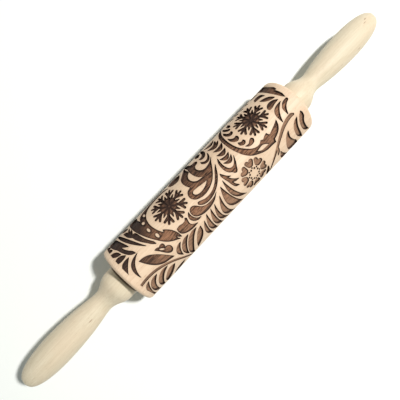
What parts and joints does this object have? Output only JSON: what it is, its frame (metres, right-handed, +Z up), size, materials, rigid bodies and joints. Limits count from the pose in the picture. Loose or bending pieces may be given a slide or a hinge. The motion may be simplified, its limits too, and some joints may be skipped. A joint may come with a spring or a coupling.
{
  "type": "engraved rolling pin",
  "caption": "Wooden rolling pin: a round barrel for pressing a raised floral pattern into dough or clay, turning on a steel rod between two turned handles.",
  "frame": {"origin": "middle of the barrel, on the axis that it turns about, which is the centre of the whole pin's box", "axes": "+X along the rod towards the right handle's tip, +Z up, so the pin lies level on its barrel at z = -0.027"},
  "size_m": [0.4262, 0.054, 0.054],
  "materials": {
    "barrel_wood": "sanded beech, engraved recesses burnt brown",
    "handle_wood": "sanded pale hardwood, unvarnished",
    "rod_steel": "bright drawn steel",
    "zinc_steel": "zinc plated",
    "nylon": "moulded natural nylon",
    "brass": "machined brass"
  },
  "bodies": {
    "handles": {"axle_rod": "rod_steel", "handle_left": "handle_wood", "handle_right": "handle_wood", "thrust_washer_left": "zinc_steel", "thrust_washer_right": "zinc_steel", "lock_nut_left": "zinc_steel", "lock_nut_right": "zinc_steel", "threaded_insert_left": "brass", "threaded_insert_right": "brass"},
    "roller": {"barrel": "barrel_wood", "bush_left": "nylon", "bush_right": "nylon"}
  },
  "joints": [
    {"name": "barrel_spin", "type": "hinge", "parent": "handles", "child": "roller", "pos_m": [0, 0, 0], "axis": [1, 0, 0], "continuous": true}
  ]
}
